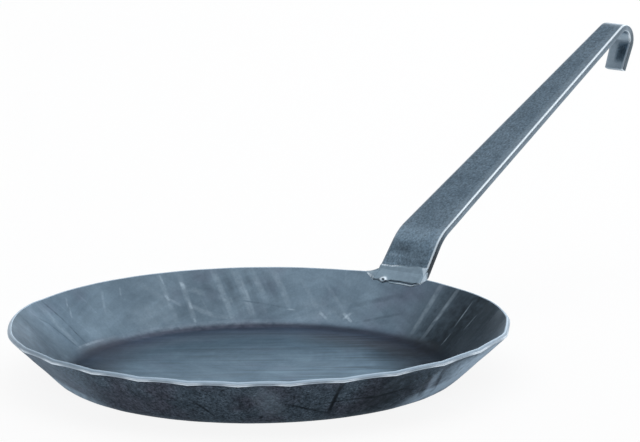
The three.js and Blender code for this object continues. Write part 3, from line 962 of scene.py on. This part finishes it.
def bar_forging(values):
    """Sweeps the section along the path, tapers it across and gives its faces a slight unevenness."""
    tree, given = new_shape_tree("bar_forging", values)
    node = partial(add, tree)
    parameter = node("GeometryNodeSplineParameter")
    measured = node(
        "GeometryNodeStoreNamedAttribute",
        {"Geometry": given["Geometry"], "Name": "along", "Value": parameter.outputs["Length"]},
        data_type="FLOAT",
        domain="POINT",
    )
    section = node("GeometryNodeObjectInfo", {"Object": given["Section"]})
    swept = node(
        "GeometryNodeCurveToMesh",
        {"Curve": measured, "Profile Curve": section.outputs["Geometry"], "Fill Caps": True},
    )
    along = node("GeometryNodeInputNamedAttribute", {"Name": "along"}, data_type="FLOAT")
    width = node(
        "MapRange",
        {0: along, 1: 0.0, 2: given["Length"], 3: given["Root Width"], 4: given["Tip Width"]},
    )
    half_width = node("Math", {0: width, 1: 0.5}, **TIMES)
    half_root = node("Math", {0: given["Root Width"], 1: 0.5}, **TIMES)
    flat_width = node("Math", {0: half_width, 1: given["Edge"]}, **MINUS)
    flat_root = node("Math", {0: half_root, 1: given["Edge"]}, **MINUS)
    taper = node("Math", {0: flat_width, 1: flat_root}, **OVER)
    place = node("GeometryNodeInputPosition")
    parts = node("SeparateXYZ", {0: place})
    aside = node("Math", {0: parts.outputs[1]}, operation="ABSOLUTE")
    side = node("Math", {0: parts.outputs[1]}, operation="SIGN")
    on_flat = node("Math", {0: aside, 1: flat_root}, operation="MINIMUM")
    on_edge = node("Math", {0: aside, 1: on_flat}, **MINUS)
    new_aside = node("Math", {0: on_flat, 1: taper, 2: on_edge}, **TIMES_PLUS)
    new_y = node("Math", {0: new_aside, 1: side}, **TIMES)
    spot = node("CombineXYZ", {0: parts.outputs[0], 1: new_y, 2: parts.outputs[2]})
    from_edge = node("Math", {0: half_width, 1: new_aside}, **MINUS)
    edged = node(
        "GeometryNodeStoreNamedAttribute",
        {"Geometry": swept, "Name": "from_edge", "Value": from_edge},
        data_type="FLOAT",
        domain="POINT",
    )
    tapered = node("GeometryNodeSetPosition", {"Geometry": edged, "Position": spot})
    wave_scale = node("Math", {0: 1.0, 1: given["Wave Size"]}, **OVER)
    wave = node("TexNoise", {"Scale": wave_scale, "Detail": 2.0})
    low = node("Math", {0: wave, 1: 0.75}, **MINUS)
    depth = node("Math", {0: low, 1: given["Wave"]}, **TIMES)
    face_way = node("GeometryNodeInputNormal")
    offset = node("VectorMath", {0: face_way, "Scale": depth}, operation="SCALE")
    uneven = node("GeometryNodeSetPosition", {"Geometry": tapered, "Offset": offset})
    smooth = node("GeometryNodeSetShadeSmooth", {"Geometry": uneven})
    result = node("GeometryNodeRealizeInstances", {"Geometry": smooth})
    result = node("GeometryNodeSetMaterial", {"Geometry": result, "Material": given["Finish"]})
    node("NodeGroupOutput", {0: result})
    return tree


path = bar_path()
bar_length = np.linalg.norm(np.diff(path, axis=0), axis=1).sum()
section_line = drawn_line("bar_section", [(x, y, 0) for x, y in bar_section()], True)
handle = shape_with(
    drawn_line("bar_path", [(x, 0, z) for x, z in path], False),
    bar_forging,
    "forged_hook_handle",
    {
        "Section": section_line,
        "Length": float(bar_length),
        "Root Width": ROOT_WIDTH,
        "Tip Width": TIP_WIDTH,
        "Edge": BAR_EDGE,
        "Wave": BAR_WAVE,
        "Wave Size": BAR_WAVE_SIZE,
        "Finish": bar_finish,
    },
)
bpy.data.objects.remove(section_line)
ease = handle.modifiers.new("eased_ends", "BEVEL")
ease.width = END_EASE
ease.segments = 3
ease.limit_method = "ANGLE"
ease.angle_limit = math.radians(60)
eased = modified_mesh(handle, handle.name)
handle.modifiers.clear()
handle.data = eased

# Weld: a run along each side of the seam, laid over the iron, and a fillet at each edge of the bar

RUN_HALF = ROOT_WIDTH / 2 - 0.5 * BAR_EDGE
RUN_STEPS = 110
RUN_ROWS = 56
STOP_PLACE = 9.5 * MM  # where the inside run was stopped, left of the middle of the bar
STOP_BELOW = 5.3 * MM  # below the rim's edge
STOP_SIZE = 2.1 * MM
STOP_RISE = 0.9 * MM
STOP_SWELL = 1.1 * MM  # how far it bulges over the lower edge of the run
STOP_SPREAD = 2 * MM
STOP_RING = 1.7 * MM  # radius of the painted highlight ring round its crater
STOP_RING_HALF = 0.75 * MM
CRATER_SIZE = 0.85 * MM
GROOVE_ABOVE = 1.5 * MM
GROOVE_HALF = 0.4 * MM
GROOVE_LEFT = 6.5 * MM
GROOVE_RIGHT = -15.5 * MM
GROOVE_START = 4 * MM  # lengths over which the groove begins and ends
GROOVE_END = 2 * MM
LIP_WIDTH = 0.8 * MM
TOE_RISE = 0.35 * MM
TOE_CUT = 1 * MM  # the run reaches this much less far down on its left, growing between these places
TOE_CUT_FROM = 4 * MM
TOE_CUT_FULL = 8 * MM
EDGE_SET = 0.12 * MM  # how far the edge of a run lies under the face of the iron
PAD_ROUND = 1.2 * MM  # widths over which the edges of the runs are rounded off
LIP_ROUND = 0.3 * MM
TOP_ROUND = 1.6 * MM
END_ROUND = 1.4 * MM
BEAD_ROUND = 2 * MM
FLECK_SIZE = 0.45 * MM
BRIGHT_END = 4 * MM  # length of the painted highlight at the right-hand end
RIPPLE = 0.12 * MM
RIPPLE_SPACING = 1.9 * MM
LEFT_REACH = 6.2 * MM
LEFT_HEIGHT = 3.2 * MM
LEFT_BELOW = 5.8 * MM
RIGHT_REACH = 2.4 * MM
RIGHT_HEIGHT = 5 * MM
RIGHT_BELOW = 4.5 * MM
FILLET_ROOT = 0.25  # share of its reach that is fused into the side of the bar
FILLET_TIP = 0.15 * MM  # how far its tip is drawn under the rim's face
FILLET_RINGS = 20
FILLET_STEPS = 5


def on_wall(edge, y, along):
    at = edge + along * up_wall
    return np.array([math.sqrt(at[0] ** 2 - y**2), at[1]])


def wander(y):
    """A slow waver for the edges of a hand-laid run."""
    return 0.3 * MM * math.sin(y / (1.9 * MM)) + 0.14 * MM * math.sin(y / (0.83 * MM) + 1)


def flecks(y):
    """Spatter and ground spots along the edge of a run, painted bright as highlights."""
    return 0.5 + 0.5 * math.sin(y / FLECK_SIZE) * math.sin(y / (1.7 * FLECK_SIZE))


def round_off(distance, width):
    return np.sin(np.clip(distance / width, 0, 1) * math.pi / 2)


def groove_share(y):
    """How much of the undercut, which leaves the lower edge of the inside run as a lip, there is."""
    begun = smoothstep(y, GROOVE_RIGHT, GROOVE_RIGHT + GROOVE_START)
    return begun * (1 - smoothstep(y, GROOVE_LEFT - GROOVE_END, GROOVE_LEFT))


def toe_groove(y, run):
    return groove_share(y) * np.exp(-(((run - GROOVE_ABOVE) / GROOVE_HALF) ** 2))


def no_groove(y, run):
    return np.zeros_like(run)


def from_stop(y, run, marks):
    return np.hypot(y - STOP_PLACE, run - (marks[1] - STOP_BELOW))


def inside_outline(y):
    cut = CAP_CUT * max(0, CAP_CORNER - RUN_HALF - y) / CAP_CORNER
    stop = STOP_SWELL * math.exp(-(((y - STOP_PLACE) / STOP_SPREAD) ** 2))
    toe_cut = TOE_CUT * smoothstep(y, TOE_CUT_FROM, TOE_CUT_FULL)
    below = CAP_BELOW - cut - toe_cut + stop + 0.3 * wander(y)
    share = (y + RUN_HALF) / (2 * RUN_HALF)
    above = CAP_ABOVE_RIGHT + share * (CAP_ABOVE_LEFT - CAP_ABOVE_RIGHT) + 0.6 * wander(y)
    toe, seam = on_wall(rim_inner, y, -below), on_wall(rim_inner, y, 0)
    return [toe, seam, bar_front, bar_front + above * up_bar]


def inside_rise(y, run, marks):
    toe = GROOVE_ABOVE * groove_share(y)
    pad = CAP_RISE * round_off(run - toe, PAD_ROUND)
    lip = TOE_RISE * round_off(run, LIP_ROUND) * (1 - smoothstep(run, toe - GROOVE_HALF, toe))
    right_end = round_off(RUN_HALF + y, END_ROUND)
    rise = np.maximum(pad, lip) * right_end * round_off(run[-1] - run, TOP_ROUND)
    distance = from_stop(y, run, marks)
    rise += STOP_RISE * np.exp(-((distance / STOP_SIZE) ** 2))
    rise -= 1.2 * STOP_RISE * np.exp(-((distance / CRATER_SIZE) ** 2))
    return rise - EDGE_SET


def outside_outline(y):
    below = BACK_BELOW + wander(y)
    above = BACK_ABOVE + wander(-y)
    toe, seam = on_wall(rim_outer, y, -below), on_wall(rim_outer, y, 0)
    return [toe, seam, bar_back, bar_back + above * up_bar]


def outside_rise(y, run, marks):
    share = 2 * run / run[-1] - 1
    ripple = RIPPLE * np.sin(math.tau * (y / RIPPLE_SPACING - 0.9 * share**2))
    crown = (1 - share**2) * round_off(RUN_HALF - abs(y), BEAD_ROUND)
    return (BACK_RISE + ripple) * crown - EDGE_SET


def weld_piece(name, points, faces, highlight_and_shade, bright):
    """A closed shell of weld metal, with what its finish needs stored on it."""
    piece = new_piece(name, points, faces)
    shell = bmesh.new()
    shell.from_mesh(piece.data)
    bmesh.ops.recalc_face_normals(shell, faces=shell.faces)
    for face in shell.faces:
        face.smooth = True
    shell.to_mesh(piece.data)
    shell.free()
    store(piece.data, "lip", highlight_and_shade)
    store(piece.data, "bright", bright)
    piece.data.materials.append(weld_finish)
    return piece


def weld_run(name, outline, rise, groove, out):
    """A run of weld metal across the joint: its face is lifted off the iron, its back fused into it."""
    faces_up, backs, highlight_and_shade, bright = [], [], [], []
    for y in np.linspace(-RUN_HALF, RUN_HALF, RUN_STEPS):
        corners = np.array(outline(y))
        marks = np.concatenate([[0], np.cumsum(np.linalg.norm(np.diff(corners, axis=0), axis=1))])
        run = np.linspace(0, marks[-1], RUN_ROWS)
        at = np.stack([np.interp(run, marks, corners[:, i]) for i in (0, 1)], axis=1)
        front = at + rise(y, run, marks)[:, None] * out
        back = at - WELD_SUNK * out
        faces_up += [(x, y, z) for x, z in front]
        backs += [(x, y, z) for x, z in back]
        # Painted highlights on the lower lip, on the spatter at the upper edge and round the stop's
        # crater, less painted shade in the groove, kept as one value
        near_top = 1 - smoothstep(marks[-1] - run, LIP_WIDTH, 2 * LIP_WIDTH)
        upper = 1.5 * flecks(y) * smoothstep(y, 1 * MM, 5 * MM) * near_top
        off_ring = from_stop(y, run, marks) - STOP_RING
        stop_ring = 1.4 * np.exp(-((off_ring / STOP_RING_HALF) ** 2))
        near_toe = 1 - smoothstep(run, LIP_WIDTH, 1.6 * LIP_WIDTH)
        lower = (0.15 + 0.5 * groove_share(y + 5 * MM)) * near_toe
        highlight_and_shade.append(np.maximum(np.maximum(lower, upper), stop_ring) - 2 * groove(y, run))
        # Painted highlight at the right-hand end, reaching further along the upper part of the run
        glint_to = BRIGHT_END * np.clip(2 * run / marks[-1] - 0.8, 0, 1)
        bright.append(1 - smoothstep((RUN_HALF + y - glint_to) / MM, -0.8, 0))
    grid = np.arange(RUN_STEPS * RUN_ROWS).reshape(RUN_STEPS, RUN_ROWS)
    quads = np.stack([grid[:-1, :-1], grid[1:, :-1], grid[1:, 1:], grid[:-1, 1:]], axis=-1).reshape(-1, 4)
    border = np.concatenate([grid[:, 0], grid[-1, 1:], grid[-2::-1, -1], grid[0, -2:0:-1]])
    beyond = np.roll(border, -1)
    under = len(faces_up)
    sides = np.stack([border, beyond, beyond + under, border + under], axis=-1)
    faces = np.concatenate([quads, quads[:, ::-1] + under, sides])
    plain = np.zeros(under)
    highlight_and_shade, bright = [np.concatenate([*rows, plain]) for rows in (highlight_and_shade, bright)]
    return weld_piece(name, faces_up + backs, faces, highlight_and_shade, bright)


def smooth_ring(corners, steps):
    """A closed curve through the corners."""
    points = []
    for i in range(len(corners)):
        a, b, c, d = [corners[(i + k) % len(corners)] for k in (-1, 0, 1, 2)]
        bow = 2 * a - 5 * b + 4 * c - d
        twist = 3 * b - a - 3 * c + d
        for t in np.arange(steps) / steps:
            points.append(((2 * b) + (c - a) * t + bow * t**2 + twist * t**3) / 2)
    return points


def weld_fillet(name, side, reach, height, below, bright):
    """A tail of weld beside the bar: it wraps over the rim and runs out along it."""
    rings, highlight_and_shade = [], []
    for share in np.linspace(-FILLET_ROOT, 1, FILLET_RINGS):
        y = side * (ROOT_WIDTH / 2 + share * reach)
        left = 1 - max(share, 0)
        tall = height * left**1.7 - FILLET_TIP * (1 - left)
        low = below * (0.15 + 0.85 * left)
        proud = (CAP_RISE - EDGE_SET) * left**0.7 - FILLET_TIP * (1 - left)
        # Corners of its section: off the wall's inner face, and up from the rim
        outline = (
            (-0.5 * MM, -low - 0.3 * MM),
            (-0.05 * MM, -low),
            (proud, -0.5 * low),
            (0.8 * proud, 0.35 * tall),
            (-0.3 * IRON, tall),
            (-0.75 * IRON, 0.7 * tall),
            (-0.98 * IRON, -0.1 * MM),
            (-0.6 * IRON, -1.2 * MM),
        )
        ring = smooth_ring(np.array(outline), FILLET_STEPS)
        for off, along in ring:
            x, z = on_wall(rim_inner, y, along) + off * into_dish
            rings.append((x, y, z))
            # Painted highlights towards the tail and on the spatter along its lower part
            highlight_and_shade.append(0.4 * max(share, 0) + flecks(y) * (along < -0.5 * low))
    count = len(ring)
    at = np.arange(FILLET_RINGS * count).reshape(FILLET_RINGS, count)
    beyond = np.roll(at, -1, axis=1)
    sides = np.stack([at[:-1], beyond[:-1], beyond[1:], at[1:]], axis=-1).reshape(-1, 4).tolist()
    ends = [at[0, ::-1].tolist(), at[-1].tolist()]
    return weld_piece(name, rings, sides + ends, highlight_and_shade, np.full(len(rings), bright))


off_joint = (into_dish + off_bar) / np.linalg.norm(into_dish + off_bar)
welds = {
    "weld_inside_cap": weld_run("dressed_inside_run", inside_outline, inside_rise, toe_groove, off_joint),
    "weld_outside_cap": weld_run("outside_bead", outside_outline, outside_rise, no_groove, -off_joint),
    "weld_left_wrap": weld_fillet("left_fillet", 1, LEFT_REACH, LEFT_HEIGHT, LEFT_BELOW, 0.0),
    "weld_right_wrap": weld_fillet("right_fillet", -1, RIGHT_REACH, RIGHT_HEIGHT, RIGHT_BELOW, 0.7),
}
root_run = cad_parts["weld_root_run"]
root_run.data.materials.clear()
root_run.data.materials.append(weld_finish)

for piece, node, slot in (
    (dish, "pan_body", "forged_iron"),
    (handle, "hook_handle", "bar_iron"),
    *[(piece, node, "weld_metal") for node, piece in welds.items()],
):
    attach(piece, "root")
    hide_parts(node)

# Floor, light and camera

PAPER_EVENNESS = 0.9  # share of its own even white that the paper shows the eye
PAPER_IN_METAL = 0.4  # and the metal, which also mirrors the pan's shadow on it
FLOOR_HALF = 4.0
FLOOR_BELOW = 0.1 * MM  # under the pan, so that the two don't share a plane


# White paper sweep: the eye and the metal see it lit evenly, with the pan's shadow kept soft
def floor_paper():
    finish, tree, shader = new_finish("white_paper")
    node = partial(add, tree)
    wire(tree, shader, {"Metallic": 0.0, "Base Color": "#f8f9fa", "Roughness": 0.9})
    ray = node("LightPath")
    mirrored = node(
        "Math",
        {0: ray.outputs["Is Glossy Ray"], 1: ray.outputs["Is Transmission Ray"]},
        operation="MAXIMUM",
    )
    in_metal = node("Math", {0: mirrored, 1: PAPER_IN_METAL}, **TIMES)
    evened = node("Math", {0: ray.outputs["Is Camera Ray"], 1: PAPER_EVENNESS, 2: in_metal}, **TIMES_PLUS)
    glow = node("Emission", {"Color": "#ffffff", "Strength": 1.0})
    surface = node("MixShader", {0: evened, 1: shader, 2: glow})
    wire(tree, tree.nodes["Material Output"], {"Surface": surface})
    return finish


floor = new_piece(
    "studio_floor",
    [(x * FLOOR_HALF, y * FLOOR_HALF, -FLOOR_BELOW) for x, y in ((-1, -1), (1, -1), (1, 1), (-1, 1))],
    [(0, 1, 2, 3)],
)
floor.data.materials.append(floor_paper())


def stand(holder, place, side, upward, back):
    """Stands a lamp or camera at a place, with its right-hand side, its top and its back these ways."""
    holder.location = place
    holder.rotation_mode = "QUATERNION"
    holder.rotation_quaternion = Matrix((side, upward, back)).transposed().to_quaternion()


def softbox(name, place, target, width, depth, strength):
    """An area lamp; place and target are to the right, beyond and up. White paper has a strength of 1."""
    lamp = bpy.data.lights.new(name, "AREA")
    lamp.shape = "RECTANGLE"
    lamp.size = width
    lamp.size_y = depth
    lamp.energy = strength * math.pi * width * depth
    at, aim = [right * p[0] + away * p[1] + up * p[2] for p in (place, target)]
    back = (at - aim).normalized()
    side = away.cross(back) if abs(back.z) > 0.99 else up.cross(back)
    side.normalize()
    stand(placed(name, lamp), at, side, back.cross(side), back)


softbox("overhead_softbox", (0.1, 0.05, 1.4), (0.1, 0.05, 0), 2.6, 1.9, 1.4)
softbox("right_softbox", (1.03, 1.15, 0.75), (0, 0, 0.3), 2.2, 1.2, 1.2)
softbox("back_softbox", (-0.1, 2.2, 0.4), (0, 0, 0.1), 2.4, 0.8, 1.5)
softbox("high_back_softbox", (0, 1.45, 1.1), (0, 0, 0.05), 2.2, 0.7, 0.6)
softbox("left_softbox", (-1.6, 0.58, 0.85), (0, 0, 0.1), 2.8, 1.2, 0.5)

world = bpy.data.worlds.new("studio")
bpy.context.scene.world = world
world.use_nodes = True
wire(world.node_tree, world.node_tree.nodes["Background"], {"Color": "#4a4f56", "Strength": 1.0})

forward = away * math.cos(VIEW_TILT) - up * math.sin(VIEW_TILT)
picture_up = away * math.sin(VIEW_TILT) + up * math.cos(VIEW_TILT)
lens = bpy.data.cameras.new("photograph")
lens.lens = VIEW_LENS
lens.sensor_width = 36
lens.clip_end = 50
camera = placed("photograph", lens)
rolled_right = right * math.cos(VIEW_ROLL) - picture_up * math.sin(VIEW_ROLL)
rolled_up = right * math.sin(VIEW_ROLL) + picture_up * math.cos(VIEW_ROLL)
view_place = right * VIEW_ASIDE + picture_up * VIEW_ABOVE - forward * VIEW_DISTANCE
stand(camera, view_place, rolled_right, rolled_up, -forward)
bpy.context.scene.camera = camera
bpy.context.scene.view_settings.view_transform = "Standard"
